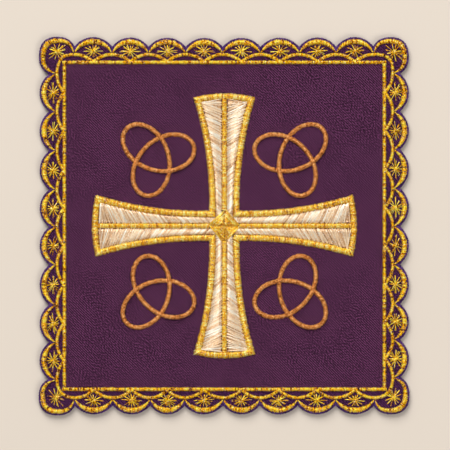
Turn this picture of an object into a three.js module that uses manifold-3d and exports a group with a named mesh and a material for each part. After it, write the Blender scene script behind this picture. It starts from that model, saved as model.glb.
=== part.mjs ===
// A chalice pall: a stiff flat square of violet twill with a scalloped edge, worked in satin stitch.
// A gold frame line carries a row of small arcs, a garland of gold crescents follows the scallops,
// and a small star sits in each of them. In the middle is a flared cross in gold and silver, with a
// copper knot in each of its four angles.
// Millimetres, +Z up. The origin is under the middle of the pall, on the surface that it lies on,
// and the top edge of the pall is towards +Y.
import * as THREE from "three";
import { mergeVertices } from "three/addons/utils/BufferGeometryUtils.js";
import Module from "manifold-3d";

// Cloth: one sheet, its two edges softened.
const CLOTH_THICK = 2.2;
const CLOTH_EDGE = 0.4;

// Stitched pieces lie just clear of the cloth.
const STITCH_GAP = 0.3;
const STITCH_LOW = CLOTH_THICK + STITCH_GAP;

// Frame line, measured along its middle.
const FRAME_WIDE = 129.6;
const FRAME_HIGH = 132.4;
const FRAME_LINE = 1.3;
const FRAME_RISE = 0.7;

// A satin column from edge to edge: share of its width, share of its rise.
const DOME = [[0, 0], [0.14, 0.62], [0.5, 1], [0.86, 0.62], [1, 0]];
// The furthest a mitred corner may reach, in widths of the shift.
const MITRE_LIMIT = 2;
// Points nearer than this are one point of a solid.
const SAME_POINT = 1e-4;

// Scallops: eight along each side between nine notches, and one on each corner.
const NOTCHES = 9;
const PITCH_ACROSS = 15.16;
const PITCH_UP = 15.43;
const LOBE_STEPS = 6;
const CORNER_STEPS = 10;
const CORNER_HALF = 7.4;
const CORNER_POWER = 2.45;

// The four sides in order round the pall. "along" is the way the side is walked and "out" the way
// out of the pall. Distances outwards are from the middle of the frame line: "notch" to the bottom
// of the notches and "crown" to the top of the scallops, which the side's middle falls short of by
// "dip". "arc" is the middle of a small arc at its crown. "slips" are how far each notch strays along
// the side from an even pitch.
const SIDES = [
  {
    name: "bottom", along: [1, 0], out: [0, -1], across: FRAME_HIGH / 2, pitch: PITCH_ACROSS,
    notch: 6.7, crown: 10.1, dip: 0, arc: 2.9, slips: [0, 0.3, 0.3, -1, -0.5, -0.8, -0.6, -0.4, 0.1],
  },
  {
    name: "right", along: [0, 1], out: [1, 0], across: FRAME_WIDE / 2, pitch: PITCH_UP,
    notch: 6.4, crown: 9.9, dip: 0, arc: 3.4, slips: [0.3, 0.1, -0.8, -0.3, -0.2, -0.2, 0, 0, 0],
  },
  {
    name: "top", along: [-1, 0], out: [0, 1], across: FRAME_HIGH / 2, pitch: PITCH_ACROSS,
    notch: 6.4, crown: 10.4, dip: 0.8, arc: 3.2, slips: [0.2, 0.2, 0, 0.5, 0.7, 0.5, 0.4, 0, 0.2],
  },
  {
    name: "left", along: [0, -1], out: [-1, 0], across: FRAME_WIDE / 2, pitch: PITCH_UP,
    notch: 6.2, crown: 10, dip: 0.1, arc: 2.9, slips: [0.2, 0, 0.5, 0.8, 0.5, 0.4, 1.2, 0.9, 0.5],
  },
];

// The corner at the end of each side. Where "bend" has a power, the small arcs turn the corner in one
// bend, the squarer the higher the power. Where it has none, they meet in a point. The corner's star
// stands "star" outwards from the corner of the frame line, across and up.
const CORNERS = [
  { name: "bottom right", bend: 2.3, star: [3.65, 3.2] },
  { name: "top right", bend: 3, star: [3.85, 4.1] },
  { name: "top left", bend: 0, star: [2.9, 4.3] },
  { name: "bottom left", bend: 2.3, star: [3.4, 3.4] },
];

// Layers of the scalloped edge: how far each lies inside the crown and under the notch, how far its
// ends stay from the notch along the side, and how quickly it leaves the notch round a corner.
const CLOTH_LAYER = { inside: 0, under: 0, aside: 0, ease: 3 };
const CRESCENT_OUTER = { inside: 0.6, under: 1.4, aside: 0.35, ease: 3 };
const CRESCENT_INNER = { inside: 2.6, under: 1.95, aside: 0.35, ease: 5 };
const CRESCENT_RISE = 0.75;

// Small arcs on the frame line. Where two meet in a point on a corner, the point lies past the corner
// of the frame line by "ARC_POINT", across and up.
const ARC_FOOT = 0.1;
const ARC_WIDE = 1.15;
const ARC_RISE = 0.6;
const ARC_STEPS = 6;
const ARC_POINT = [0.9, 2.1];
const ARC_CORNER_STEPS = 8;
const ARC_EASE = 3;

// Stars.
const STAR_OUT = 4.5;
const STAR_SPOKES = 10;
const STAR_LONG = 3.95;
const STAR_SHORT = 2;
const CORNER_STAR_SHORT = 2.7;
const STAR_INWARD = 0.82;
const STAR_TIP = 0.27;
const STAR_ROOT = 0.95;
const STAR_RISE = 0.65;
const STAR_RIM_RISE = 0.3;

// Cross: four arms that flare towards their ends, with a gold outline column, a gold spine and two
// silver panels in each arm, and a gold lozenge on the crossing.
const ARM_REACH = 52;
const ARM_HALF_IN = 6;
const ARM_HALF_OUT = 12.5;
const ARM_FLARE = 2.2;
const ARM_END_BULGE = 1.6;
const ARM_STEPS = 8;
const ARM_END_STEPS = 6;
const OUTLINE_WIDE = 2.4;
const SPINE_HALF = 0.95;
const PIECE_GAP = 0.35;
const PANEL_GAP = 0.5;
const PANEL_STEPS = 7;
const CROSS_RISE = 0.7;
const LOZENGE_HALF = 6.6;
const LOZENGE_RISE = 0.9;
const LOZENGE_EDGE = 0.25;

// Knots: one closed copper cord each, with three loops, over and under by turns.
const KNOT_PLACE = 28;
const KNOT_SCALE = 5.4;
const KNOT_CORD = 1.6;
const KNOT_CORD_RISE = 0.5;
const KNOT_LIFT = 0.6;
const KNOT_STEPS = 42;

const wasm = await Module();
wasm.setup();

// Curves

function arcDrop(u, half, rise) {
  const radius = (half * half + rise * rise) / (2 * rise);
  return radius - Math.sqrt(radius * radius - u * u);
}

function place(side, along, out) {
  return [0, 1].map((i) => side.along[i] * along + side.out[i] * (side.across + out));
}

function notchAt(side, k) {
  return (k - (NOTCHES - 1) / 2) * side.pitch + side.slips[k];
}

function crownOf(side, along) {
  const fromMiddle = along / (side.pitch * (NOTCHES / 2));
  return side.crown - side.dip * Math.max(0, 1 - fromMiddle * fromMiddle);
}

function nextSide(i) {
  return SIDES[(i + 1) % SIDES.length];
}

// The way out of the pall across the corner at the end of side i: minus or plus one, across and up.
function cornerSigns(i) {
  const [a, b] = [SIDES[i].out, nextSide(i).out];
  return [a[0] + b[0], a[1] + b[1]];
}

// A rounded corner from point a to point b about a middle: a superellipse drawn to both points at its
// ends, the nearer to them the higher the ease. Both points are kept.
function roundedCorner(a, b, middle, half, { power, ease, steps }) {
  const angle = (p) => Math.atan2(p[1] - middle[1], p[0] - middle[0]);
  const radiusAt = (q) => {
    const [c, s] = [Math.abs(Math.cos(q)) / half[0], Math.abs(Math.sin(q)) / half[1]];
    return (c ** power + s ** power) ** (-1 / power);
  };
  const reach = (p) => Math.hypot(p[0] - middle[0], p[1] - middle[1]);
  const start = angle(a);
  let sweep = angle(b) - start;
  if (sweep < 0) sweep += 2 * Math.PI;
  const startOff = reach(a) / radiusAt(start) - 1;
  const endOff = reach(b) / radiusAt(start + sweep) - 1;
  const points = [];
  for (let i = 0; i <= steps; i++) {
    const t = i / steps;
    const q = start + sweep * t;
    const r = radiusAt(q) * (1 + startOff * (1 - t) ** ease + endOff * t ** ease);
    points.push([middle[0] + r * Math.cos(q), middle[1] + r * Math.sin(q)]);
  }
  return points;
}

// One layer of the scalloped edge: a list of points for each lobe, in order round the pall.
function edgeLobes(layer) {
  const lobes = [];
  SIDES.forEach((side, i) => {
    const foot = side.notch - layer.under;
    for (let k = 0; k < NOTCHES - 1; k++) {
      const from = notchAt(side, k) + layer.aside;
      const to = notchAt(side, k + 1) - layer.aside;
      const [middle, half] = [(from + to) / 2, (to - from) / 2];
      const top = crownOf(side, middle) - layer.inside;
      const points = [];
      for (let j = 0; j <= LOBE_STEPS; j++) {
        const u = half * (2 * (j / LOBE_STEPS) - 1);
        points.push(place(side, middle + u, top - arcDrop(u, half, top - foot)));
      }
      lobes.push(points);
    }
    const next = nextSide(i);
    const a = place(side, notchAt(side, NOTCHES - 1) + layer.aside, foot);
    const b = place(next, notchAt(next, 0) - layer.aside, next.notch - layer.under);
    const crowns = side.out[0] === 0 ? [next.crown, side.crown] : [side.crown, next.crown];
    const signs = cornerSigns(i);
    const half = CORNER_HALF - layer.inside;
    const middle = [
      signs[0] * (FRAME_WIDE / 2 + crowns[0] - CORNER_HALF),
      signs[1] * (FRAME_HIGH / 2 + crowns[1] - CORNER_HALF),
    ];
    const turn = { power: CORNER_POWER, ease: layer.ease, steps: CORNER_STEPS };
    lobes.push(roundedCorner(a, b, middle, [half, half], turn));
  });
  return lobes;
}

// The middle line of the small arcs, once round the pall: a crown over each notch, and a foot under
// each star. At a corner the last two arcs meet in a point, or turn it in one round bend.
function arcLine() {
  const points = [];
  SIDES.forEach((side, i) => {
    const level = side.out[0] === 0;
    const corner = (level ? FRAME_WIDE : FRAME_HIGH) / 2;
    const [overhang, cornerFoot] = level ? ARC_POINT : [ARC_POINT[1], ARC_POINT[0]];
    const feet = [{ along: -corner - overhang, out: cornerFoot }];
    for (let k = 1; k < NOTCHES; k++) {
      feet.push({ along: (notchAt(side, k - 1) + notchAt(side, k)) / 2, out: ARC_FOOT });
    }
    feet.push({ along: corner + overhang, out: cornerFoot });
    const bendBefore = CORNERS[(i + SIDES.length - 1) % SIDES.length].bend;
    const bend = CORNERS[i].bend;
    for (let k = 0; k < NOTCHES; k++) {
      const crown = notchAt(side, k);
      for (let j = 0; j < ARC_STEPS; j++) {
        const u = 2 * (j / ARC_STEPS) - 1;
        if (k === 0 && u < 0 && bendBefore) continue;
        if (k === NOTCHES - 1 && u > 0 && bend) continue;
        const foot = feet[u < 0 ? k : k + 1];
        const half = Math.abs(foot.along - crown);
        const drop = arcDrop(u * half, half, side.arc - foot.out);
        points.push(place(side, crown + u * half, side.arc - drop));
      }
    }
    if (bend) {
      const next = nextSide(i);
      const a = place(side, notchAt(side, NOTCHES - 1), side.arc);
      const b = place(next, notchAt(next, 0), next.arc);
      const middle = level ? [a[0], b[1]] : [b[0], a[1]];
      const half = [Math.abs(b[0] - a[0]), Math.abs(b[1] - a[1])];
      const turn = { power: bend, ease: ARC_EASE, steps: ARC_CORNER_STEPS };
      points.push(...roundedCorner(a, b, middle, half, turn).slice(1, -1));
    }
  });
  return points;
}

// The points of a line moved sideways by a distance, to the left of the way it runs, with mitred
// corners. The line is closed unless it says otherwise.
function shifted(line, distance, closed = true) {
  const last = line.length - 1;
  return line.map((p, i) => {
    const before = line[i > 0 ? i - 1 : closed ? last : 0];
    const after = line[i < last ? i + 1 : closed ? 0 : last];
    const toward = (a, b) => {
      const size = Math.hypot(b[0] - a[0], b[1] - a[1]) || 1;
      return [(b[0] - a[0]) / size, (b[1] - a[1]) / size];
    };
    const [a, b] = [toward(before, p), toward(p, after)];
    const sum = [a[0] + b[0], a[1] + b[1]];
    const size = Math.hypot(...sum);
    const normal = [-sum[1] / size, sum[0] / size];
    const reach = distance * Math.min(MITRE_LIMIT, 2 / size);
    return [p[0] + normal[0] * reach, p[1] + normal[1] * reach];
  });
}

// Solids

function geometryOf(vertices, triangles) {
  const geometry = new THREE.BufferGeometry();
  geometry.setAttribute("position", new THREE.Float32BufferAttribute(vertices.flat(), 3));
  geometry.setIndex(triangles.flat());
  geometry.computeVertexNormals();
  return geometry;
}

// A satin column between a left and a right edge: flat under and domed over. The heights of its
// underside are a number or one for each point.
function column(left, right, rise, { low = STITCH_LOW, closed = false } = {}) {
  const count = left.length;
  const vertices = [];
  left.forEach((p, i) => {
    const floor = Array.isArray(low) ? low[i] : low;
    for (const [share, up] of DOME) {
      const x = p[0] + (right[i][0] - p[0]) * share;
      const y = p[1] + (right[i][1] - p[1]) * share;
      vertices.push([x, y, floor + rise * up]);
    }
  });
  const triangles = [];
  const ring = DOME.length;
  for (let i = 0; i < (closed ? count : count - 1); i++) {
    for (let j = 0; j < ring; j++) {
      const [a, b] = [i * ring + j, ((i + 1) % count) * ring + j];
      const turn = j === ring - 1 ? 1 - ring : 1;
      triangles.push([a, a + turn, b + turn], [a, b + turn, b]);
    }
  }
  if (!closed) {
    const end = (count - 1) * ring;
    for (let j = 1; j < ring - 1; j++) {
      triangles.push([0, j + 1, j], [end, end + j, end + j + 1]);
    }
  }
  return geometryOf(vertices, triangles);
}

function solidOf(geometry) {
  const bare = new THREE.BufferGeometry();
  bare.setAttribute("position", geometry.getAttribute("position"));
  if (geometry.index) bare.setIndex(geometry.index);
  const merged = mergeVertices(bare, SAME_POINT);
  return new wasm.Manifold(
    new wasm.Mesh({
      numProp: 3,
      vertProperties: merged.getAttribute("position").array,
      triVerts: new Uint32Array(merged.index.array),
    })
  );
}

function joined(a, b) {
  const mesh = solidOf(a).add(solidOf(b)).getMesh();
  const geometry = new THREE.BufferGeometry();
  geometry.setAttribute("position", new THREE.BufferAttribute(mesh.vertProperties, 3));
  geometry.setIndex(new THREE.BufferAttribute(mesh.triVerts, 1));
  geometry.computeVertexNormals();
  return geometry;
}

// A flat plate with both its edges softened, standing on z = low.
function plate(outline, low, thick, edge) {
  const shape = new THREE.Shape(outline.map(([x, y]) => new THREE.Vector2(x, y)));
  const geometry = new THREE.ExtrudeGeometry(shape, {
    depth: thick - 2 * edge,
    bevelThickness: edge,
    bevelSize: edge,
    bevelOffset: -edge,
    bevelSegments: 1,
  });
  return geometry.translate(0, 0, low + edge);
}

// Pieces

function clothSheet() {
  const outline = edgeLobes(CLOTH_LAYER).flatMap((lobe) => lobe.slice(0, -1));
  return plate(outline, 0, CLOTH_THICK, CLOTH_EDGE);
}

function outerScallops() {
  const inner = edgeLobes(CRESCENT_INNER).flat();
  const outer = edgeLobes(CRESCENT_OUTER).flat();
  return column(inner, outer, CRESCENT_RISE, { closed: true });
}

function frameAndArcs() {
  const [x, y] = [FRAME_WIDE / 2, FRAME_HIGH / 2];
  const frame = [[-x, -y], [x, -y], [x, y], [-x, y]];
  const arcs = arcLine();
  const line = column(shifted(frame, FRAME_LINE / 2), shifted(frame, -FRAME_LINE / 2), FRAME_RISE, {
    closed: true,
  });
  const row = column(shifted(arcs, ARC_WIDE / 2), shifted(arcs, -ARC_WIDE / 2), ARC_RISE, {
    closed: true,
  });
  return joined(line, row);
}

// A star of spokes about a hub. Its long spokes lie along the edge of the pall, whose way out is
// given, and the spokes that point inwards are a little shorter.
function star(hub, out, short) {
  const turn = Math.atan2(out[1], out[0]) - Math.PI / 2;
  const rim = [];
  for (let i = 0; i < STAR_SPOKES; i++) {
    const q = (2 * Math.PI * i) / STAR_SPOKES;
    const [c, s] = [Math.cos(q), Math.sin(q)];
    const reach = 1 / Math.hypot(c / STAR_LONG, s / short);
    const long = reach * (s < 0 ? 1 + (1 - STAR_INWARD) * s : 1);
    const step = Math.PI / STAR_SPOKES;
    rim.push([long * c + STAR_TIP * s, long * s - STAR_TIP * c]);
    rim.push([long * c - STAR_TIP * s, long * s + STAR_TIP * c]);
    rim.push([STAR_ROOT * Math.cos(q + step), STAR_ROOT * Math.sin(q + step)]);
  }
  const [c, s] = [Math.cos(turn), Math.sin(turn)];
  const placed = rim.map(([x, y]) => [hub[0] + x * c - y * s, hub[1] + x * s + y * c]);
  const count = placed.length;
  const vertices = [
    ...placed.map((p) => [...p, STITCH_LOW]),
    ...placed.map((p) => [...p, STITCH_LOW + STAR_RIM_RISE]),
    [...hub, STITCH_LOW],
    [...hub, STITCH_LOW + STAR_RISE],
  ];
  const triangles = [];
  for (let i = 0; i < count; i++) {
    const j = (i + 1) % count;
    triangles.push([i, j, count + j], [i, count + j, count + i]);
    triangles.push([2 * count, j, i], [2 * count + 1, count + i, count + j]);
  }
  return geometryOf(vertices, triangles);
}

function stars() {
  const made = [];
  SIDES.forEach((side, i) => {
    for (let k = 0; k < NOTCHES - 1; k++) {
      const middle = (notchAt(side, k) + notchAt(side, k + 1)) / 2;
      made.push(star(place(side, middle, STAR_OUT), side.out, STAR_SHORT));
    }
    const signs = cornerSigns(i);
    const [x, y] = CORNERS[i].star;
    const hub = [signs[0] * (FRAME_WIDE / 2 + x), signs[1] * (FRAME_HIGH / 2 + y)];
    made.push(star(hub, signs, CORNER_STAR_SHORT));
  });
  return made;
}

function armHalf(along) {
  const share = (along - ARM_HALF_IN) / (ARM_REACH - ARM_HALF_IN);
  return ARM_HALF_IN + (ARM_HALF_OUT - ARM_HALF_IN) * share ** ARM_FLARE;
}

function turned(points, quarter) {
  const [c, s] = [[1, 0], [0, 1], [-1, 0], [0, -1]][quarter];
  return points.map(([x, y]) => [x * c - y * s, x * s + y * c]);
}

// The edge of the arm along +X: out along its lower side, over its end and back to the next angle.
function armEdge() {
  const points = [];
  for (let i = 0; i < ARM_STEPS; i++) {
    const along = ARM_HALF_IN + ((ARM_REACH - ARM_HALF_IN) * i) / ARM_STEPS;
    points.push([along, -armHalf(along)]);
  }
  for (let i = 0; i <= ARM_END_STEPS; i++) {
    const share = 2 * (i / ARM_END_STEPS) - 1;
    points.push([ARM_REACH + ARM_END_BULGE * (1 - share * share), ARM_HALF_OUT * share]);
  }
  for (let i = ARM_STEPS - 1; i > 0; i--) {
    const along = ARM_HALF_IN + ((ARM_REACH - ARM_HALF_IN) * i) / ARM_STEPS;
    points.push([along, armHalf(along)]);
  }
  return points;
}

function crossOutline() {
  const edge = [0, 1, 2, 3].flatMap((quarter) => turned(armEdge(), quarter));
  return column(shifted(edge, OUTLINE_WIDE), edge, CROSS_RISE, { closed: true });
}

function spine(quarter) {
  const start = LOZENGE_HALF + PIECE_GAP;
  const end = ARM_REACH - OUTLINE_WIDE + ARM_END_BULGE - PIECE_GAP;
  const left = [[start, SPINE_HALF], [end, SPINE_HALF]];
  const right = [[start, -SPINE_HALF], [end, -SPINE_HALF]];
  return column(turned(left, quarter), turned(right, quarter), CROSS_RISE);
}

// A silver panel on one side of an arm's spine. It starts along the lozenge and ends along the bulge
// of the outline. Side is 1 or -1.
function panel(quarter, side) {
  const near = SPINE_HALF + PIECE_GAP;
  const far = (along) => armHalf(Math.max(along, ARM_HALF_IN)) - OUTLINE_WIDE - PANEL_GAP;
  const lozengeSide = LOZENGE_HALF + PIECE_GAP * Math.SQRT2;
  const innerStart = lozengeSide - near;
  const outerStart = lozengeSide - far(ARM_HALF_IN);
  const outerEnd = ARM_REACH - OUTLINE_WIDE - PIECE_GAP;
  const innerEnd = outerEnd + ARM_END_BULGE * (1 - (near / ARM_HALF_OUT) ** 2);
  const [inner, outer] = [[], []];
  for (let i = 0; i <= PANEL_STEPS; i++) {
    const share = i / PANEL_STEPS;
    const along = outerStart + (outerEnd - outerStart) * share;
    inner.push([innerStart + (innerEnd - innerStart) * share, side * near]);
    outer.push([along, side * far(along)]);
  }
  const [left, right] = side > 0 ? [outer, inner] : [inner, outer];
  return column(turned(left, quarter), turned(right, quarter), CROSS_RISE);
}

function lozenge() {
  const half = LOZENGE_HALF;
  const outline = [[half, 0], [0, half], [-half, 0], [0, -half]];
  return plate(outline, STITCH_LOW, LOZENGE_RISE, LOZENGE_EDGE);
}

function knot(quarter) {
  const out = Math.PI / 4 + (quarter * Math.PI) / 2;
  const [c, s] = [Math.cos(out - Math.PI / 2), Math.sin(out - Math.PI / 2)];
  const middle = [
    KNOT_PLACE * Math.SQRT2 * Math.cos(out),
    KNOT_PLACE * Math.SQRT2 * Math.sin(out),
  ];
  const line = [];
  const low = [];
  for (let i = 0; i < KNOT_STEPS; i++) {
    const t = (2 * Math.PI * i) / KNOT_STEPS;
    const x = KNOT_SCALE * (Math.sin(t) + 2 * Math.sin(2 * t));
    const y = -KNOT_SCALE * (Math.cos(t) - 2 * Math.cos(2 * t));
    line.push([middle[0] + x * c - y * s, middle[1] + x * s + y * c]);
    low.push(STITCH_LOW + (KNOT_LIFT * (1 - Math.sin(3 * t))) / 2);
  }
  const left = shifted(line, KNOT_CORD / 2);
  const right = shifted(line, -KNOT_CORD / 2);
  return column(left, right, KNOT_CORD_RISE, { low, closed: true });
}

// Materials: each piece has its own copy.
const violet = { color: 0x4e2644, roughness: 0.9, metalness: 0 };
const gold = { color: 0xdca834, roughness: 0.38, metalness: 0.55 };
const silver = { color: 0xdfc4a3, roughness: 0.36, metalness: 0.5 };
const copper = { color: 0xb8743a, roughness: 0.45, metalness: 0.45 };

const pall = new THREE.Group();

function addPiece(name, geometry, look) {
  const mesh = new THREE.Mesh(geometry, new THREE.MeshStandardMaterial(look));
  mesh.name = name;
  pall.add(mesh);
}

addPiece("pall_cloth", clothSheet(), violet);
addPiece("frame_and_arcs", frameAndArcs(), gold);
addPiece("outer_scallops", outerScallops(), gold);
stars().forEach((geometry, i) => {
  addPiece("star_" + String(i + 1).padStart(2, "0"), geometry, gold);
});
addPiece("cross_outline", crossOutline(), gold);
addPiece("cross_lozenge", lozenge(), gold);
for (let quarter = 0; quarter < 4; quarter++) {
  addPiece("cross_spine_" + (quarter + 1), spine(quarter), gold);
  addPiece("cross_panel_" + (2 * quarter + 1), panel(quarter, 1), silver);
  addPiece("cross_panel_" + (2 * quarter + 2), panel(quarter, -1), silver);
  addPiece("knot_cord_" + (quarter + 1), knot(quarter), copper);
}

// The sides reach out unequally, so the whole is set back over the middle of its own box.
const box = new THREE.Box3().setFromObject(pall);
const centre = box.getCenter(new THREE.Vector3());
pall.position.set(-centre.x, -centre.y, 0);

export default pall;
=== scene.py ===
import math

import bpy
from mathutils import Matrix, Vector, noise


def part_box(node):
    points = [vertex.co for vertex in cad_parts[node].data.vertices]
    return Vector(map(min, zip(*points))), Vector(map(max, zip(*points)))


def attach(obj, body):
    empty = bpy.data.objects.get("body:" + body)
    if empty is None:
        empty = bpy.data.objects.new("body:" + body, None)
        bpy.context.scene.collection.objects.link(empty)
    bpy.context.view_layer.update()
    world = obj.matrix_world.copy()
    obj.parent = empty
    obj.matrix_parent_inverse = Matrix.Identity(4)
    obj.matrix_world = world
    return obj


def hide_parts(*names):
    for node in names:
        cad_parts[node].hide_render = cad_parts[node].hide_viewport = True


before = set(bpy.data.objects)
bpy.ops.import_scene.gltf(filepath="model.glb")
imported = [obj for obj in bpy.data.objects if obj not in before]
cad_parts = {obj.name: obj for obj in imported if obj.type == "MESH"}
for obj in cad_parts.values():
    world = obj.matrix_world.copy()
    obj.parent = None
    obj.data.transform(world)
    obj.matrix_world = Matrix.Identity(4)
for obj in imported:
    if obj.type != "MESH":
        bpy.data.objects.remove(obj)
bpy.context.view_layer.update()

# A chalice pall seen from straight above: violet twill with an overcast scalloped edge, a border of
# gold satin stitch, and a cross in gold and silver with four copper knots.
# Sizes are in millimetres, as on the maker's pattern. Meshes are in metres.
MM = 0.001

# View: how many millimetres one pixel of the 450 pixel frame shows, and where the middle of the
# frame line stands in it. The camera's height and the floor's reach are in metres.
PIXEL = 0.405
FRAME_PIXELS = 450
PALL_AT_PIXEL = (224.35, 225.8)
CAMERA_HIGH = 1.6
SENSOR = 36.0
FLOOR_REACH = 2.5

# Cloth, and the frame line on it
CLOTH_THICK = 2.2
FRAME_WIDE = 129.6
FRAME_HIGH = 132.4
FRAME_LINE = 1.3
WAVE_HIGH = 0.05
WAVE_LONG = 14.0

# Section of the cloth's rounded edge: how far in, and the share of the thickness
EDGE_SECTION = [(0.95, 1.0), (0.5, 0.97), (0.2, 0.86), (0.05, 0.66), (0.0, 0.5),
                (0.05, 0.34), (0.2, 0.14), (0.5, 0.03), (0.95, 0.0)]

# Rings of points across the cloth, from its edge to the field in the frame and on to the middle
FIELD_ROUND = 1.2
BORDER_RINGS = 4
FIELD_RINGS = 24
UNDER_BORDER_RINGS = 2
UNDER_FIELD_RINGS = 6
FIRST_FIELD_SHARE = 0.99

# Weave of the twill: its ribs, the weft across them, thicker spots, grain and worn patches
TWILL_PITCH = 0.74
WEFT_PITCH = 0.52
SLUB_PITCH = 1.15
SLUB_REACH = 2.2
GRAIN_SIZE = 0.4
NAP_PATCH = 11
RIB_SHARE = 0.75
# Painted shade: the ground outside the frame line is multiplied by this darker, bluer colour between
# the raised gold stitching.
BORDER_PAINTED_SHADE = (0.7, 0.6, 0.95, 1)

# Scallops: eight along each side between nine notches, and one on each corner.
NOTCHES = 9
PITCH_ACROSS = 15.16
PITCH_UP = 15.43
LOBE_STEPS = 16
CORNER_STEPS = 28
CORNER_HALF = 7.4
CORNER_POWER = 2.45

# The four sides in order round the pall, with the columns of the pattern: the way the side is
# walked, the way out of it, its distance from the middle, the pitch of its scallops, the depth of
# its notches and crowns beyond the frame line, how far the middle falls short, the crown of its
# small arcs, and how far each notch strays from an even pitch.
SIDES = [
    # Bottom
    {
        "along": (1, 0), "out": (0, -1), "across": FRAME_HIGH / 2, "pitch": PITCH_ACROSS,
        "notch": 6.35, "crown": 10.1, "dip": 0, "arc": 3.45,
        "slips": (0, 0.3, 0.3, -1, -0.5, -0.8, -0.6, -0.4, 0.1),
    },
    # Right
    {
        "along": (0, 1), "out": (1, 0), "across": FRAME_WIDE / 2, "pitch": PITCH_UP,
        "notch": 6.1, "crown": 9.85, "dip": 0, "arc": 3.4,
        "slips": (0.3, 0.1, -0.8, -0.3, -0.2, -0.2, 0, 0, 0),
    },
    # Top
    {
        "along": (-1, 0), "out": (0, 1), "across": FRAME_HIGH / 2, "pitch": PITCH_ACROSS,
        "notch": 6.1, "crown": 10.4, "dip": 0.6, "arc": 3.2,
        "slips": (0.2, 0.2, 0, 0.5, 0.7, 0.5, 0.4, 0, 0.2),
    },
    # Left
    {
        "along": (0, -1), "out": (-1, 0), "across": FRAME_WIDE / 2, "pitch": PITCH_UP,
        "notch": 5.9, "crown": 10, "dip": 0.1, "arc": 3,
        "slips": (0.2, 0, 0.5, 0.8, 0.5, 0.4, 1.2, 0.9, 0.5),
    },
]

# The corner at the end of each side, from bottom right to bottom left: how far its scallop swells
# beyond the crowns beside it, how squarely the small arcs turn it, or 0 where they meet in a point,
# and where its star stands.
CORNERS = [
    {"swell": 0.05, "bend": 2.3, "star": (3.65, 3.2)},
    {"swell": -0.2, "bend": 3, "star": (3.85, 4.1)},
    {"swell": 0, "bend": 0, "star": (2.9, 4.3)},
    {"swell": 0.35, "bend": 2.3, "star": (3.4, 3.4)},
]

# Layers of the scalloped edge: how far each line lies inside the crowns, under the notches and
# aside from them, and how quickly it eases into a corner.
CLOTH_LAYER = {"inside": 0, "under": 0, "aside": 0, "ease": 3}
CRESCENT_OUTER = {"inside": 0.68, "under": 1.45, "aside": 0.35, "ease": 3}
CRESCENT_INNER = {"inside": 2.65, "under": 1.95, "aside": 0.35, "ease": 5}

# Small arcs. ARC_POINT is how far past a corner, along and out, two of them meet in a point.
ARC_FOOT = 0.1
ARC_WIDE = 1.15
ARC_STEPS = 12
ARC_POINT = (0.9, 2.1)
ARC_CORNER_STEPS = 16
ARC_EASE = 3

# Stars: half their length along the edge and across it, the share of their inward rays, and how
# the threads of each ray lie side by side and step up over those below.
STAR_OUT = 4.5
STAR_SPOKES = 12
STAR_LONG = 4.05
STAR_SHORT = 2.45
CORNER_STAR_SHORT = 2.8
STAR_INWARD = 0.95
STAR_THREADS = 2
STAR_THREAD_APART = 0.16
STAR_THREAD = 0.27
STAR_STEP_UP = 0.05
STAR_SIDE_DOWN = 0.03
STAR_SIDE_SHORT = 0.06

# Cross
ARM_REACH = 52
ARM_HALF_IN = 6
ARM_HALF_OUT = 12.5
ARM_FLARE = 2.2
ARM_END_BULGE = 1.6
ARM_STEPS = 14
ARM_END_STEPS = 8
OUTLINE_WIDE = 2.4
SPINE_HALF = 0.95
PIECE_GAP = 0.15
PANEL_STEPS = 24
PANEL_SLANT = 4.5
PANEL_END = 0.4
LOZENGE_HALF = 6.6
LOZENGE_MIDDLE = 0.35

# Knots
KNOT_PLACE = 28
KNOT_SCALE = 5.4
KNOT_CORD = 1.6
KNOT_LIFT = 0.6
KNOT_STEPS = 150

# Threads and the padding under them. Stitches within about GROUP_LONG share a tone.
THREAD = 0.4
PITCH = 0.36
THREAD_SIDES = 4
ARCH_POINTS = 7
WRAP_POINTS = 9
SEW_DEPTH = 0.06
GROUP_LONG = 0.85
THREAD_SIZES = ("Pitch", "Thread", "Rise", "Fullness", "Steepest", "Unevenness", "Turn", "Stray",
                "Grouping")
PADDING_WIDE = 0.97
# The padding's tone is low, so it shows darker than the threads over it: painted shade in the gaps
# between the stitches.
PADDING_SHADE_TONE = 0.1
PADDING_SHARES = [math.sin(math.pi / 2 * (i / 4 - 1)) for i in range(9)]

# Threads that wrap the edge
EDGE_THREAD = 0.46
EDGE_PITCH = 0.46
EDGE_REACH = 1.1
EDGE_PROUD = 0.02
EDGE_MIDDLE = 1.26
EDGE_RISE = 0.98

# Metallic thread: sizes of its painted glints and fibres
PAINTED_GLINT_SIZE = 0.44
FIBRE_SIZE = 0.12


# Curves of the pattern

def arc_drop(u, half, rise):
    radius = (half * half + rise * rise) / (2 * rise)
    return radius - math.sqrt(max(0, radius * radius - u * u))


def on_side(side, along, out):
    return tuple(side["along"][i] * along + side["out"][i] * (side["across"] + out) for i in (0, 1))


def notch_at(side, k):
    return (k - (NOTCHES - 1) / 2) * side["pitch"] + side["slips"][k]


def crown_of(side, along):
    from_middle = along / (side["pitch"] * NOTCHES / 2)
    return side["crown"] - side["dip"] * max(0, 1 - from_middle * from_middle)


def next_side(i):
    return SIDES[(i + 1) % len(SIDES)]


def corner_signs(i):
    a, b = SIDES[i]["out"], next_side(i)["out"]
    return (a[0] + b[0], a[1] + b[1])


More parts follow.
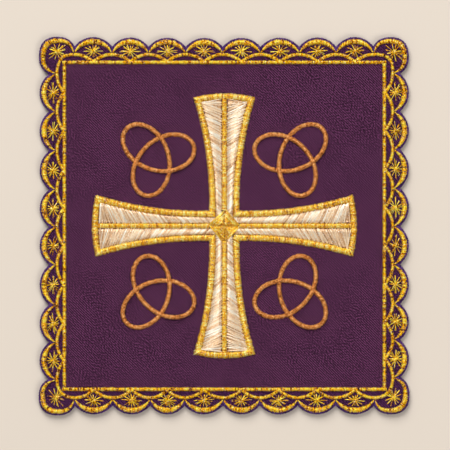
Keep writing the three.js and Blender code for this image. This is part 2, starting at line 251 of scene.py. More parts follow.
def rounded_corner(a, b, middle, half, power, ease, steps):
    """A superellipse from point a to point b about a middle, drawn to both points at its ends."""
    def angle(p):
        return math.atan2(p[1] - middle[1], p[0] - middle[0])

    def radius_at(q):
        c, s = abs(math.cos(q)) / half[0], abs(math.sin(q)) / half[1]
        return (c ** power + s ** power) ** (-1 / power)

    start = angle(a)
    sweep = (angle(b) - start) % (2 * math.pi)
    start_off = math.dist(a, middle) / radius_at(start) - 1
    end_off = math.dist(b, middle) / radius_at(start + sweep) - 1
    points = []
    for i in range(steps + 1):
        t = i / steps
        q = start + sweep * t
        r = radius_at(q) * (1 + start_off * (1 - t) ** ease + end_off * t ** ease)
        points.append((middle[0] + r * math.cos(q), middle[1] + r * math.sin(q)))
    return points


def edge_lobes(layer):
    """One layer of the scalloped edge: the points of each scallop, in order round the pall."""
    lobes = []
    for i, side in enumerate(SIDES):
        foot = side["notch"] - layer["under"]
        for k in range(NOTCHES - 1):
            start = notch_at(side, k) + layer["aside"]
            end = notch_at(side, k + 1) - layer["aside"]
            middle, half = (start + end) / 2, (end - start) / 2
            top = crown_of(side, middle) - layer["inside"]
            steps = [2 * j / LOBE_STEPS - 1 for j in range(LOBE_STEPS + 1)]
            lobes.append([on_side(side, middle + u * half, top - arc_drop(u * half, half, top - foot))
                          for u in steps])
        after = next_side(i)
        a = on_side(side, notch_at(side, NOTCHES - 1) + layer["aside"], foot)
        b = on_side(after, notch_at(after, 0) - layer["aside"], after["notch"] - layer["under"])
        level = side["out"][0] == 0
        crowns = (after["crown"], side["crown"]) if level else (side["crown"], after["crown"])
        signs = corner_signs(i)
        inset = CORNER_HALF - CORNERS[i]["swell"]
        middle = (signs[0] * (FRAME_WIDE / 2 + crowns[0] - inset),
                  signs[1] * (FRAME_HIGH / 2 + crowns[1] - inset))
        half = CORNER_HALF - layer["inside"]
        lobes.append(rounded_corner(a, b, middle, (half, half), CORNER_POWER, layer["ease"],
                                    CORNER_STEPS))
    return lobes


def arc_line():
    """The middle line of the small arcs, once round the pall."""
    points = []
    for i, side in enumerate(SIDES):
        level = side["out"][0] == 0
        corner = (FRAME_WIDE if level else FRAME_HIGH) / 2
        overhang, corner_foot = ARC_POINT if level else ARC_POINT[::-1]
        feet = [(-corner - overhang, corner_foot)]
        feet += [((notch_at(side, k - 1) + notch_at(side, k)) / 2, ARC_FOOT) for k in range(1, NOTCHES)]
        feet.append((corner + overhang, corner_foot))
        bend = CORNERS[i]["bend"]
        bend_before = CORNERS[i - 1]["bend"]
        for k in range(NOTCHES):
            crown = notch_at(side, k)
            for j in range(ARC_STEPS):
                u = 2 * j / ARC_STEPS - 1
                at_corner = (k == 0 and u < 0 and bend_before) or (k == NOTCHES - 1 and u > 0 and bend)
                if not at_corner:
                    foot = feet[k if u < 0 else k + 1]
                    half = abs(foot[0] - crown)
                    drop = arc_drop(u * half, half, side["arc"] - foot[1])
                    points.append(on_side(side, crown + u * half, side["arc"] - drop))
        if bend:
            after = next_side(i)
            a = on_side(side, notch_at(side, NOTCHES - 1), side["arc"])
            b = on_side(after, notch_at(after, 0), after["arc"])
            middle = (a[0], b[1]) if level else (b[0], a[1])
            half = (abs(b[0] - a[0]), abs(b[1] - a[1]))
            points += rounded_corner(a, b, middle, half, bend, ARC_EASE, ARC_CORNER_STEPS)[1:-1]
    return points


def shifted(line, distance, closed=True):
    """The points of a line moved sideways, to the left of the way it runs, with mitred corners."""
    count = len(line)
    moved = []
    for i, p in enumerate(line):
        before = line[i - 1] if closed or i else p
        after = line[(i + 1) % count] if closed or i < count - 1 else p
        a = Vector(p) - Vector(before)
        b = Vector(after) - Vector(p)
        total = a.normalized() + b.normalized()
        normal = Vector((-total.y, total.x)).normalized()
        reach = distance * min(2, 2 / total.length)
        moved.append((p[0] + normal.x * reach, p[1] + normal.y * reach))
    return moved


def turned(points, quarter):
    c, s = ((1, 0), (0, 1), (-1, 0), (0, -1))[quarter]
    return [(x * c - y * s, x * s + y * c) for x, y in points]


def arm_half(along):
    share = max(0, along - ARM_HALF_IN) / (ARM_REACH - ARM_HALF_IN)
    return ARM_HALF_IN + (ARM_HALF_OUT - ARM_HALF_IN) * share ** ARM_FLARE


def arm_edge():
    """The edge of the arm towards +X: out along its lower side, over its end and back."""
    alongs = [ARM_HALF_IN + (ARM_REACH - ARM_HALF_IN) * i / ARM_STEPS for i in range(ARM_STEPS)]
    shares = [2 * i / ARM_END_STEPS - 1 for i in range(ARM_END_STEPS + 1)]
    points = [(along, -arm_half(along)) for along in alongs]
    points += [(ARM_REACH + ARM_END_BULGE * (1 - u * u), ARM_HALF_OUT * u) for u in shares]
    points += [(along, arm_half(along)) for along in reversed(alongs[1:])]
    return points


# Rows of stitches: each has a left and a right edge, and a height for every pair of points.

def row(left, right, low=CLOTH_THICK, closed=False):
    heights = low if isinstance(low, list) else [low] * len(left)
    return {"left": left, "right": right, "low": heights, "closed": closed}


def frame_rows():
    """The frame line: its level sides run out to the corners, the upright ones between them."""
    x, y, half = FRAME_WIDE / 2, FRAME_HIGH / 2, FRAME_LINE / 2
    rows = []
    for sign in (1, -1):
        rows.append(row([(-x - half, sign * y + half), (x + half, sign * y + half)],
                        [(-x - half, sign * y - half), (x + half, sign * y - half)]))
        rows.append(row([(sign * x - half, -y + half), (sign * x - half, y - half)],
                        [(sign * x + half, -y + half), (sign * x + half, y - half)]))
    return rows


def arc_rows():
    line = arc_line()
    return [row(shifted(line, ARC_WIDE / 2), shifted(line, -ARC_WIDE / 2), closed=True)]


def crescent_rows():
    lobes = zip(edge_lobes(CRESCENT_INNER), edge_lobes(CRESCENT_OUTER))
    return [row(inner, outer) for inner, outer in lobes]


def cross_outline_rows():
    edge = [p for quarter in range(4) for p in turned(arm_edge(), quarter)]
    return [row(shifted(edge, OUTLINE_WIDE), edge, closed=True)]


def spine_rows():
    start = LOZENGE_HALF - PIECE_GAP
    end = ARM_REACH - OUTLINE_WIDE + ARM_END_BULGE
    return [row(turned([(start, SPINE_HALF), (end, SPINE_HALF)], quarter),
                turned([(start, -SPINE_HALF), (end, -SPINE_HALF)], quarter)) for quarter in range(4)]


def panel_rows():
    """Silver panels on both sides of each spine, with stitches that slant outwards like a feather."""
    near = SPINE_HALF + PIECE_GAP
    far_in = ARM_HALF_IN - OUTLINE_WIDE - PIECE_GAP
    inner_start, outer_start = LOZENGE_HALF - near, LOZENGE_HALF - far_in
    outer_end = ARM_REACH - OUTLINE_WIDE + PANEL_END
    inner_end = ARM_REACH - OUTLINE_WIDE - PIECE_GAP + ARM_END_BULGE * (1 - (near / ARM_HALF_OUT) ** 2)
    slant = PANEL_SLANT / (outer_end - outer_start)
    rows = []
    for quarter in range(4):
        for side in (1, -1):
            inner, outer = [], []
            for i in range(PANEL_STEPS + 1):
                t = (1 + slant) * i / PANEL_STEPS
                x_in = inner_start + (inner_end - inner_start) * min(1, max(0, t - slant))
                x_out = outer_start + (outer_end - outer_start) * min(1, t)
                inner.append((x_in, side * near))
                outer.append((x_out, side * (arm_half(x_out) - OUTLINE_WIDE - PIECE_GAP)))
            edges = (outer, inner) if side > 0 else (inner, outer)
            rows.append(row(turned(edges[0], quarter), turned(edges[1], quarter)))
    return rows


def lozenge_rows():
    """Four facets of stitches that lie parallel to the lozenge's edges."""
    return [row(turned([(LOZENGE_MIDDLE, 0), (LOZENGE_HALF, 0)], quarter),
                turned([(0, LOZENGE_MIDDLE), (0, LOZENGE_HALF)], quarter)) for quarter in range(4)]


def knot_rows():
    """One closed cord with three loops in each angle of the cross, over and under by turns."""
    rows = []
    for quarter in range(4):
        out = math.pi / 4 + quarter * math.pi / 2
        c, s = math.cos(out - math.pi / 2), math.sin(out - math.pi / 2)
        middle = (KNOT_PLACE * math.sqrt(2) * math.cos(out), KNOT_PLACE * math.sqrt(2) * math.sin(out))
        line, low = [], []
        for i in range(KNOT_STEPS):
            t = 2 * math.pi * i / KNOT_STEPS
            x = KNOT_SCALE * (math.sin(t) + 2 * math.sin(2 * t))
            y = -KNOT_SCALE * (math.cos(t) - 2 * math.cos(2 * t))
            line.append((middle[0] + x * c - y * s, middle[1] + x * s + y * c))
            low.append(CLOTH_THICK + KNOT_LIFT * (1 - math.sin(3 * t)) / 2)
        rows.append(row(shifted(line, KNOT_CORD / 2), shifted(line, -KNOT_CORD / 2), low, closed=True))
    return rows


def star_stitches():
    """The long stitches of every star: each runs over the hub from spoke to spoke."""
    stitches = []
    for i, side in enumerate(SIDES):
        hubs = []
        for k in range(NOTCHES - 1):
            middle = (notch_at(side, k) + notch_at(side, k + 1)) / 2
            hubs.append((on_side(side, middle, STAR_OUT), side["out"], STAR_SHORT))
        signs = corner_signs(i)
        x, y = CORNERS[i]["star"]
        corner = (signs[0] * (FRAME_WIDE / 2 + x), signs[1] * (FRAME_HIGH / 2 + y))
        hubs.append((corner, signs, CORNER_STAR_SHORT))
        for hub, out, short in hubs:
            stitches += star_of(hub, out, short)
    return stitches


def star_of(hub, out, short):
    turn = math.atan2(out[1], out[0]) - math.pi / 2
    stitches = []
    for i in range(STAR_SPOKES // 2):
        q = 2 * math.pi * i / STAR_SPOKES
        tips = []
        for way in (q, q + math.pi):
            c, s = math.cos(way), math.sin(way)
            reach = 1 / math.hypot(c / STAR_LONG, s / short)
            reach *= 1 + (1 - STAR_INWARD) * s if s < 0 else 1
            tips.append(Vector((reach * math.cos(way + turn), reach * math.sin(way + turn))))
        aside = Vector((-math.sin(q + turn), math.cos(q + turn))) * STAR_THREAD_APART
        for j in range(STAR_THREADS):
            part = j - (STAR_THREADS - 1) / 2
            low = CLOTH_THICK + STAR_STEP_UP * i - STAR_SIDE_DOWN * abs(part)
            middle = Vector(hub) + (tips[0] + tips[1]) / 2 + aside * part
            half = (tips[0] - tips[1]) / 2 * (1 - STAR_SIDE_SHORT * abs(part))
            stitches.append((tuple(middle), low, tuple(half)))
    return stitches


# Meshes in metres. The pattern's own middle is where the frame has the middle of the lozenge.
lozenge_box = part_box("cross_lozenge")
PATTERN_MIDDLE = (lozenge_box[0] + lozenge_box[1]) / 2


def to_metres(x, y, z):
    return (PATTERN_MIDDLE.x + x * MM, PATTERN_MIDDLE.y + y * MM, z * MM)


def new_object(name, mesh):
    made = bpy.data.objects.new(name, mesh)
    bpy.context.scene.collection.objects.link(made)
    return made


def path_mesh(name, points, halves, chains):
    """Points joined in chains. Each point keeps half of the way across its stitch."""
    mesh = bpy.data.meshes.new(name)
    edges = []
    for first, count, closed in chains:
        edges += [(first + i, first + i + 1) for i in range(count - 1)]
        if closed:
            edges.append((first + count - 1, first))
    mesh.from_pydata([to_metres(*p) for p in points], edges, [])
    across = mesh.attributes.new("across", "FLOAT_VECTOR", "POINT")
    across.data.foreach_set("vector", [v * MM for half in halves for v in (*half, 0)])
    return mesh


def path_of_rows(name, rows):
    points, halves, chains = [], [], []
    for r in rows:
        chains.append((len(points), len(r["left"]), r["closed"]))
        for a, b, z in zip(r["left"], r["right"], r["low"]):
            points.append(((a[0] + b[0]) / 2, (a[1] + b[1]) / 2, z - SEW_DEPTH))
            halves.append(((b[0] - a[0]) / 2, (b[1] - a[1]) / 2))
    return path_mesh(name, points, halves, chains)


def padding_mesh(name, rows, rise, fullness, steepest):
    """The padding under satin stitches: a low dome along each row, closed underneath."""
    vertices, faces = [], []
    ring = len(PADDING_SHARES)
    for r in rows:
        first, count = len(vertices), len(r["left"])
        for a, b, z in zip(r["left"], r["right"], r["low"]):
            top = min(rise, steepest * math.dist(a, b) / 2)
            for u in PADDING_SHARES:
                x = (a[0] + b[0]) / 2 + (b[0] - a[0]) / 2 * u * PADDING_WIDE
                y = (a[1] + b[1]) / 2 + (b[1] - a[1]) / 2 * u * PADDING_WIDE
                vertices.append(to_metres(x, y, z - SEW_DEPTH + top * (1 - abs(u) ** fullness)))
        for i in range(count if r["closed"] else count - 1):
            here, there = first + i * ring, first + (i + 1) % count * ring
            for j in range(ring):
                k = (j + 1) % ring
                faces.append((here + j, here + k, there + k, there + j))
        if not r["closed"]:
            faces.append(tuple(first + j for j in reversed(range(ring))))
            faces.append(tuple(first + (count - 1) * ring + j for j in range(ring)))
    mesh = bpy.data.meshes.new(name)
    mesh.from_pydata(vertices, [], faces)
    # Painted shade: the padding is toned dark so the gaps between the stitches look shaded.
    tone = mesh.attributes.new("tone", "FLOAT", "POINT")
    tone.data.foreach_set("value", [PADDING_SHADE_TONE] * len(vertices))
    mesh.polygons.foreach_set("use_smooth", [True] * len(mesh.polygons))
    mesh.update()
    return mesh


# Thread trees

def add(tree, kind, inputs=(), **settings):
    """A new node with its settings, and with its inputs set to values or joined to sockets."""
    node = tree.nodes.new(kind)
    for key, value in settings.items():
        setattr(node, key, value)
    for key, value in dict(inputs).items():
        if isinstance(value, bpy.types.NodeSocket):
            tree.links.new(value, node.inputs[key])
        else:
            node.inputs[key].default_value = value
    return node


def maths(tree, operation, *values):
    return add(tree, "ShaderNodeMath", enumerate(values), operation=operation).outputs[0]


def arched_thread(tree, fullness):
    """One stitch as a curve: from -1 to 1 along X, arched to a height of 1."""
    line = add(tree, "GeometryNodeCurvePrimitiveLine", {"Start": (-1, 0, 0), "End": (1, 0, 0)})
    points = add(tree, "GeometryNodeResampleCurve", {"Curve": line.outputs[0], "Count": ARCH_POINTS})
    place = add(tree, "ShaderNodeSeparateXYZ", {0: add(tree, "GeometryNodeInputPosition").outputs[0]})
    x = maths(tree, "SINE", maths(tree, "MULTIPLY", place.outputs[0], math.pi / 2))
    z = maths(tree, "SUBTRACT", 1, maths(tree, "POWER", maths(tree, "ABSOLUTE", x), fullness))
    arch = add(tree, "ShaderNodeCombineXYZ", {0: x, 2: z}).outputs[0]
    return add(tree, "GeometryNodeSetPosition", {0: points.outputs[0], "Position": arch}).outputs[0]


def wrapped_thread(tree, fullness):
    """One stitch as a curve round an edge: out along +X between heights of -1 and 1."""
    line = add(tree, "GeometryNodeCurvePrimitiveLine", {"Start": (-1, 0, 0), "End": (1, 0, 0)})
    points = add(tree, "GeometryNodeResampleCurve", {"Curve": line.outputs[0], "Count": WRAP_POINTS})
    place = add(tree, "ShaderNodeSeparateXYZ", {0: add(tree, "GeometryNodeInputPosition").outputs[0]})
    angle = maths(tree, "MULTIPLY", place.outputs[0], math.pi / 2)
    power = maths(tree, "DIVIDE", 2, fullness)
    x = maths(tree, "POWER", maths(tree, "ABSOLUTE", maths(tree, "COSINE", angle)), power)
    height = maths(tree, "POWER", maths(tree, "ABSOLUTE", maths(tree, "SINE", angle)), power)
    z = maths(tree, "MULTIPLY", height, maths(tree, "SIGN", place.outputs[0]))
    wrap = add(tree, "ShaderNodeCombineXYZ", {0: x, 2: z}).outputs[0]
    return add(tree, "GeometryNodeSetPosition", {0: points.outputs[0], "Position": wrap}).outputs[0]


def thread_tree(name, finish, thread_shape, along_path):
    """Stitches along a path, or one at each point, every one a round thread of its own."""
    tree = bpy.data.node_groups.new(name, "GeometryNodeTree")
    tree.interface.new_socket(name="Path", in_out="INPUT", socket_type="NodeSocketGeometry")
    for label in THREAD_SIZES:
        tree.interface.new_socket(name=label, in_out="INPUT", socket_type="NodeSocketFloat")
    tree.interface.new_socket(name="Stitches", in_out="OUTPUT", socket_type="NodeSocketGeometry")
    size = tree.nodes.new("NodeGroupInput").outputs

    places = size["Path"]
    if along_path:
        curve = add(tree, "GeometryNodeMeshToCurve", {0: places})
        places = add(tree, "GeometryNodeResampleCurve", {0: curve.outputs[0], "Length": size["Pitch"]},
                     mode="LENGTH").outputs[0]

    def chance(low, high, seed):
        return add(tree, "FunctionNodeRandomValue", {2: low, 3: high, 8: seed}).outputs[1]

    least_stray = maths(tree, "MULTIPLY", size["Stray"], -1)
    aside = add(tree, "ShaderNodeCombineXYZ", {
        0: chance(least_stray, size["Stray"], 5),
        1: chance(least_stray, size["Stray"], 6),
    }).outputs[0]
    places = add(tree, "GeometryNodeSetPosition", {0: places, "Offset": aside}).outputs[0]
    uneven = size["Unevenness"]
    across = add(tree, "GeometryNodeInputNamedAttribute", {0: "across"},
                 data_type="FLOAT_VECTOR").outputs[0]
    least_turn = maths(tree, "MULTIPLY", size["Turn"], -1)
    aim = add(tree, "ShaderNodeVectorRotate",
              {"Vector": across, "Angle": chance(least_turn, size["Turn"], 1)}, rotation_type="Z_AXIS")
    facing = add(tree, "FunctionNodeAlignRotationToVector", {"Vector": aim.outputs[0]},
                 axis="X", pivot_axis="Z")
    half = add(tree, "ShaderNodeVectorMath", {0: across}, operation="LENGTH").outputs["Value"]
    longer = maths(tree, "MULTIPLY_ADD", chance(-1, 1, 2), uneven, 1)
    higher = maths(tree, "MULTIPLY_ADD", chance(-1, 1, 3), uneven, 1)
    rise = maths(tree, "MINIMUM", size["Rise"], maths(tree, "MULTIPLY", half, size["Steepest"]))
    scale = add(tree, "ShaderNodeCombineXYZ", {
        0: maths(tree, "MULTIPLY", half, longer),
        1: 1,
        2: maths(tree, "MULTIPLY", rise, higher),
    })
    stitches = add(tree, "GeometryNodeInstanceOnPoints", {
        "Points": places,
        "Instance": thread_shape(tree, size["Fullness"]),
        "Rotation": facing.outputs[0],
        "Scale": scale.outputs[0],
    })
    groups = add(tree, "ShaderNodeTexNoise", {"Scale": 1 / (GROUP_LONG * MM), "Detail": 1.0})
    shared = add(tree, "ShaderNodeMapRange", {
        "Value": groups.outputs[0], "From Min": 0.34, "From Max": 0.64,
    }).outputs[0]
    tone = add(tree, "ShaderNodeMix", {0: size["Grouping"], 2: chance(0, 1, 4), 3: shared}).outputs[0]
    toned = add(tree, "GeometryNodeStoreNamedAttribute",
                {"Geometry": stitches.outputs[0], "Name": "tone", "Value": tone},
                data_type="FLOAT", domain="INSTANCE")
    lines = add(tree, "GeometryNodeRealizeInstances", {0: toned.outputs[0]})
    section = add(tree, "GeometryNodeCurvePrimitiveCircle",
                  {"Resolution": THREAD_SIDES, "Radius": maths(tree, "MULTIPLY", size["Thread"], 0.5)})
    round_thread = add(tree, "GeometryNodeCurveToMesh", {
        "Curve": lines.outputs[0], "Profile Curve": section.outputs[0], "Fill Caps": True,
    })
    smooth = add(tree, "GeometryNodeSetShadeSmooth", {0: round_thread.outputs[0]})
    plain = add(tree, "GeometryNodeRealizeInstances", {0: smooth.outputs[0]})
    finished = add(tree, "GeometryNodeSetMaterial", {0: plain.outputs[0], "Material": finish})
    add(tree, "NodeGroupOutput", {0: finished.outputs[0]})
    return tree


def stitched(name, path, tree, sizes):
    """The tree's stitches on a path, as a plain mesh."""
    worker = new_object(name, path)
    modifier = worker.modifiers.new(name, "NODES")
    modifier.node_group = tree
    for item in tree.interface.items_tree:
        if item.in_out == "INPUT" and item.name in sizes:
            modifier[item.identifier] = float(sizes[item.name])
    bpy.context.view_layer.update()
    depsgraph = bpy.context.evaluated_depsgraph_get()
    mesh = bpy.data.meshes.new_from_object(worker.evaluated_get(depsgraph))
    bpy.data.objects.remove(worker)
    mesh.name = name
    return mesh


def joined(name, meshes):
    """Several meshes as one object at the origin."""
    parts = [new_object(name, mesh) for mesh in meshes]
    if len(parts) > 1:
        with bpy.context.temp_override(active_object=parts[0], selected_editable_objects=parts):
            bpy.ops.object.join()
    parts[0].name = name
    return parts[0]


def thread_sizes(pitch, thread, rise, fullness, steepest, unevenness, turn, stray, grouping):
    """A thread tree's inputs from sizes in millimetres and a turn in degrees."""
    lengths = (pitch * MM, thread * MM, rise * MM)
    return dict(zip(THREAD_SIZES, (*lengths, fullness, steepest, unevenness, math.radians(turn),
                                   stray * MM, grouping)))


def satin(name, rows, finish, rise, fullness=3.0, steepest=1.6, grouping=0.65):
    """Padded satin stitch over rows."""
    sizes = thread_sizes(PITCH, THREAD, rise, fullness, steepest, unevenness=0.12, turn=6, stray=0.08,
                         grouping=grouping)
    tree = thread_tree(name + "_rows", finish, arched_thread, along_path=True)
    threads = stitched(name + "_threads", path_of_rows(name + "_path", rows), tree, sizes)
    padding = padding_mesh(name + "_padding", rows, rise - THREAD / 2, fullness, steepest)
    padding.materials.append(finish)
    return joined(name, [threads, padding])


# Finishes

def srgb(*levels):
    """A colour as seen on a screen, 0 to 255, in the shader's own linear scale."""
    shares = [v / 255 for v in levels]
    return tuple(s / 12.92 if s <= 0.04045 else ((s + 0.055) / 1.055) ** 2.4 for s in shares) + (1,)


def new_finish(name):
    finish = bpy.data.materials.new(name)
    finish.use_nodes = True
    tree = finish.node_tree
    return finish, tree, tree.nodes["Principled BSDF"]


def ramp(tree, share, stops):
    node = add(tree, "ShaderNodeValToRGB", {0: share})
    line = node.color_ramp.elements
    while len(line) < len(stops):
        line.new(0.5)
    for element, (at, colour) in zip(line, stops):
        element.position = at
        element.color = colour
    return node.outputs[0]


def pattern_place(tree):
    return add(tree, "ShaderNodeTexCoord").outputs["Object"]


def patches_of(tree, place, size, detail=1.0):
    """Random patches of a size in millimetres, about 0.5 in the middle."""
    return add(tree, "ShaderNodeTexNoise", {
        "Vector": place, "Scale": 1 / (size * MM), "Detail": detail,
    }).outputs[0]


def thread_finish(name, stops, glint, metallic, roughness, patch=0.7, tone_weight=0.6):
    """Thread: every stitch has its own tone, partly the thread's own uneven colour and partly painted
    shade and highlight, and patches of painted shine and small painted glints run over them.
    """
    finish, tree, shader = new_finish(name)
    place = pattern_place(tree)
    tone = add(tree, "ShaderNodeAttribute", attribute_name="tone").outputs["Fac"]
    spread = add(tree, "ShaderNodeMapRange", {
        "Value": patches_of(tree, place, patch, detail=2.0), "From Min": 0.36, "From Max": 0.6,
    }).outputs[0]
    of_patch = maths(tree, "MULTIPLY", spread, 1 - tone_weight)
    blend = maths(tree, "MULTIPLY_ADD", tone, tone_weight, of_patch)
    # Painted glints: small pale spots mixed into the thread's colour.
    painted_glint = add(tree, "ShaderNodeMapRange", {
        "Value": patches_of(tree, place, PAINTED_GLINT_SIZE), "From Min": 0.61, "From Max": 0.68,
    }).outputs[0]
    colour = add(tree, "ShaderNodeMix", {0: painted_glint, 6: ramp(tree, blend, stops), 7: glint},
                 data_type="RGBA").outputs[2]
    tree.links.new(colour, shader.inputs["Base Color"])
    bump = add(tree, "ShaderNodeBump", {
        "Strength": 0.35, "Distance": 0.05 * MM, "Height": patches_of(tree, place, FIBRE_SIZE),
    })
    tree.links.new(bump.outputs[0], shader.inputs["Normal"])
    shader.inputs["Metallic"].default_value = metallic
    shader.inputs["Specular IOR Level"].default_value = 0.1
    shader.inputs["Roughness"].default_value = roughness
    return finish


def twill_finish(name, dark, middle, light):
    """Violet twill: diagonal ribs that run down to the right, crossed by the finer weft."""
    finish, tree, shader = new_finish(name)
    place = pattern_place(tree)
    turned_place = add(tree, "ShaderNodeMapping", {
        "Vector": place, "Rotation": (0, 0, -math.pi / 4),
    }).outputs[0]
    per_rib = 2 * math.pi / 20 / MM
    ribs = add(tree, "ShaderNodeTexWave", {
        "Vector": turned_place, "Scale": per_rib / TWILL_PITCH, "Distortion": 0.7, "Detail": 1.0,
        "Detail Scale": 1.5,
    }, bands_direction="X").outputs["Fac"]
    weft = add(tree, "ShaderNodeTexWave", {
        "Vector": place, "Scale": per_rib / WEFT_PITCH, "Distortion": 0.8, "Detail": 1.0,
    }, bands_direction="Y").outputs["Fac"]
    slubs = add(tree, "ShaderNodeTexGabor", {
        "Vector": place, "Scale": 1 / (SLUB_REACH * MM), "Frequency": SLUB_REACH / SLUB_PITCH,
        "Anisotropy": 0.2, "Orientation": math.pi / 4,
    }).outputs["Value"]
    swing = maths(tree, "SUBTRACT", patches_of(tree, place, GRAIN_SIZE), 0.5)
    specks = maths(tree, "MULTIPLY", swing, maths(tree, "MULTIPLY", swing, swing))
    depth = add(tree, "ShaderNodeMapRange", {
        "Value": patches_of(tree, place, NAP_PATCH),
        "From Min": 0.4, "From Max": 0.6, "To Min": 0.24, "To Max": 0.62,
    }).outputs[0]
    woven = maths(tree, "MULTIPLY_ADD", ribs, RIB_SHARE, maths(tree, "MULTIPLY", weft, 1 - RIB_SHARE))
    shade = maths(tree, "MULTIPLY_ADD", specks, 26, 0.15)
    uneven = maths(tree, "MULTIPLY_ADD", slubs, 0.7, shade)
    blend = maths(tree, "MULTIPLY_ADD", maths(tree, "SUBTRACT", woven, 0.5), depth, uneven)
    colour = ramp(tree, blend, [(0.3, dark), (0.5, middle), (0.7, light)])
    # Painted shade: the border's ground turns darker and bluer between the raised gold stitching.
    border = add(tree, "ShaderNodeAttribute", attribute_name="border").outputs["Fac"]
    toned = add(tree, "ShaderNodeMix", {0: border, 6: colour, 7: BORDER_PAINTED_SHADE},
                data_type="RGBA", blend_type="MULTIPLY").outputs[2]
    tree.links.new(toned, shader.inputs["Base Color"])
    bump = add(tree, "ShaderNodeBump", {"Strength": 0.6, "Distance": 0.12 * MM, "Height": woven})
    tree.links.new(bump.outputs[0], shader.inputs["Normal"])
    shader.inputs["Roughness"].default_value = 0.8
    shader.inputs["Specular IOR Level"].default_value = 0.15
    return finish


# The metal threads' ramps run from dark to pale: partly the threads' own uneven colour, partly painted
# shade at the dark end and painted highlight at the pale end.
gold_stops = [(0.18, srgb(70, 30, 2)), (0.32, srgb(186, 108, 4)), (0.47, srgb(255, 184, 4)),
              (0.62, srgb(255, 216, 14)), (0.82, srgb(255, 240, 96))]
pale_gold_stops = [(0.05, srgb(134, 76, 8)), (0.25, srgb(216, 142, 18)), (0.47, srgb(252, 194, 42)),
                   (0.68, srgb(255, 228, 84)), (0.9, srgb(255, 250, 180))]
silver_stops = [(0.0, srgb(164, 120, 80)), (0.25, srgb(232, 192, 148)), (0.55, srgb(254, 230, 196)),
                (0.85, srgb(255, 252, 240))]
copper_stops = [(0.0, srgb(104, 50, 16)), (0.3, srgb(190, 114, 48)), (0.65, srgb(238, 162, 86)),
                (1.0, srgb(252, 208, 142))]
violet_stops = [(0.0, srgb(28, 10, 48)), (0.5, srgb(70, 38, 104)), (1.0, srgb(122, 84, 154))]

# The second colour of each finish is its painted glint.
gold = thread_finish("gold_metal_thread", gold_stops, srgb(255, 246, 204),
                     metallic=0.5, roughness=0.32)
pale_gold = thread_finish("pale_gold_metal_thread", pale_gold_stops, srgb(255, 252, 228),
                          metallic=0.45, roughness=0.32)
silver = thread_finish("silver_metal_thread", silver_stops, srgb(255, 252, 244),
                       metallic=0.45, roughness=0.34, tone_weight=0.85)
copper = thread_finish("copper_metal_thread", copper_stops, srgb(250, 206, 150),
                       metallic=0.5, roughness=0.42, tone_weight=0.45)
violet_thread = thread_finish("violet_thread", violet_stops, srgb(104, 74, 132),
                              metallic=0.0, roughness=0.7)
violet_twill = twill_finish("violet_twill", srgb(30, 6, 26), srgb(64, 27, 57), srgb(108, 56, 97))


# Cloth sheet with its overcast edge

def cloth_outline():
    return [p for lobe in edge_lobes(CLOTH_LAYER) for p in lobe[:-1]]


def outline_area():
    """The area inside the cloth's outline, in square metres."""
    points = cloth_outline()
    pairs = zip(points, points[1:] + points[:1])
    return abs(sum(a[0] * b[1] - b[0] * a[1] for a, b in pairs)) / 2 * MM * MM


def cloth_wave(x, y):
    """How far the cloth's top stands off flat, in millimetres."""
    return WAVE_HIGH * noise.noise(Vector((x / WAVE_LONG, y / WAVE_LONG, 0.0)))


def on_field(x, y):
    """The point of the field's rounded edge that lies straight in from a point of the outline."""
    cx, cy = FRAME_WIDE / 2 - FIELD_ROUND, FRAME_HIGH / 2 - FIELD_ROUND
    from_x, from_y = abs(x) - cx, abs(y) - cy
    if from_x > 0 and from_y > 0:
        scale = FIELD_ROUND / math.hypot(from_x, from_y)
        in_x, in_y = cx + from_x * scale, cy + from_y * scale
    else:
        in_x, in_y = min(abs(x), cx + FIELD_ROUND), min(abs(y), cy + FIELD_ROUND)
    return (math.copysign(in_x, x), math.copysign(in_y, y))


def rings_inwards(ring, border_rings, field_rings):
    """Rings from the cloth's edge in to the field, then in to the middle."""
    edge = [on_field(x, y) for x, y in ring]
    rings = []
    for i in range(1, border_rings + 1):
        t = i / border_rings
        rings.append([(a[0] + (b[0] - a[0]) * t, a[1] + (b[1] - a[1]) * t) for a, b in zip(ring, edge)])
    for i in range(field_rings):
        share = FIRST_FIELD_SHARE * (1 - i / field_rings)
        rings.append([(x * share, y * share) for x, y in edge])
    return rings


